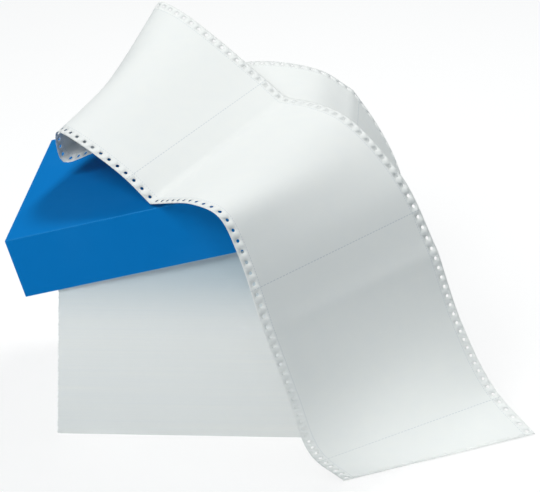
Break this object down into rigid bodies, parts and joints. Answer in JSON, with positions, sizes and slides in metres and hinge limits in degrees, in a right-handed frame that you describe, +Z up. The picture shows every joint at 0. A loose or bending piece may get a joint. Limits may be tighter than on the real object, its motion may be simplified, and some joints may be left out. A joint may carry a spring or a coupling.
{
  "type": "fanfold continuous form paper",
  "caption": "Tall fanfold stack of continuous form paper with its top sheets pulled out over an askew box lid and down to the table.",
  "frame": {"origin": "centre of the bounding box on the surface that the stack stands on", "axes": "+Z up, +X along the stack's 11 inch side towards the pulled-out sheets, -Y towards the viewer"},
  "size_m": [0.5522, 0.4566, 0.3794],
  "materials": {
    "paper": "matt uncoated white paper",
    "lid_card": "matt blue coated card"
  },
  "bodies": {
    "root": {"continuous_form": "paper", "box_lid": "lid_card"}
  },
  "joints": []
}
